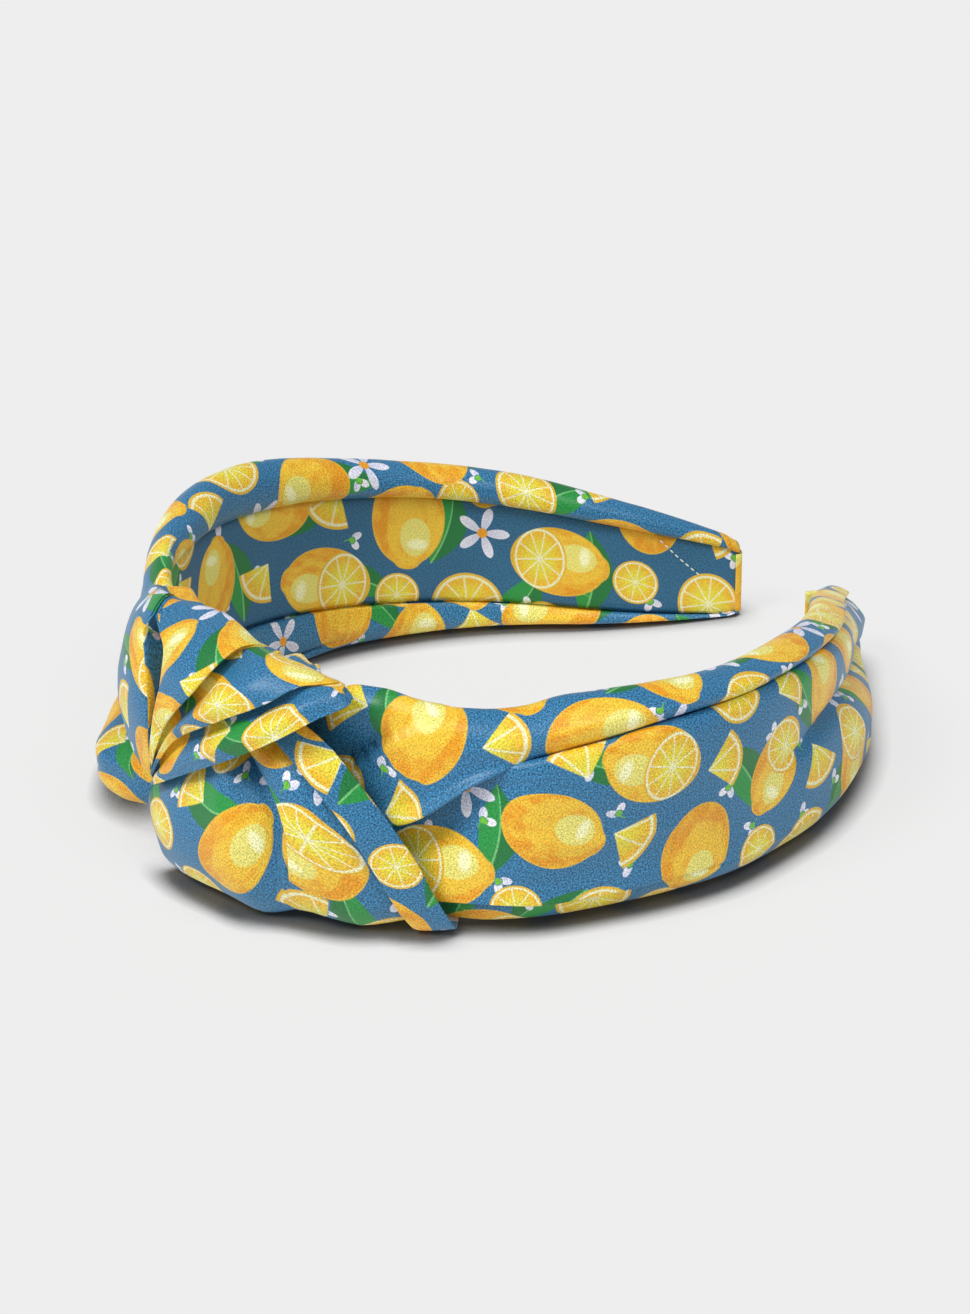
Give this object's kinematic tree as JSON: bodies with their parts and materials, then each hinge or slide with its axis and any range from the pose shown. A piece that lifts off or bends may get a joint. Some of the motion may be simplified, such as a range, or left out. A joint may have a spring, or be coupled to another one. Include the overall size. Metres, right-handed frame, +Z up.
{
  "type": "knotted headband",
  "caption": "Rigid open headband covered in pleated printed cloth, lined inside, with a large knot of folded wraps at the crown, lying on its side.",
  "frame": {"origin": "under the middle of the whole headband, on the surface it lies on", "axes": "+X from the knot at the crown to the open tips, +Y to the far leg, +Z up from the surface"},
  "size_m": [0.1684, 0.1396, 0.0538],
  "materials": {
    "hoop_plastic": "satin",
    "printed_lining": "matte woven print",
    "printed_satin": "satin print"
  },
  "bodies": {
    "root": {"hoop_core": "hoop_plastic", "lining_strip": "printed_lining", "near_upper_fold": "printed_satin", "near_lower_fold": "printed_satin", "far_upper_fold": "printed_satin", "far_lower_fold": "printed_satin", "knot_upper_wrap": "printed_satin", "knot_lower_wrap": "printed_satin", "knot_core": "printed_satin", "near_tip_tab": "printed_lining", "far_tip_tab": "printed_lining"}
  },
  "joints": []
}
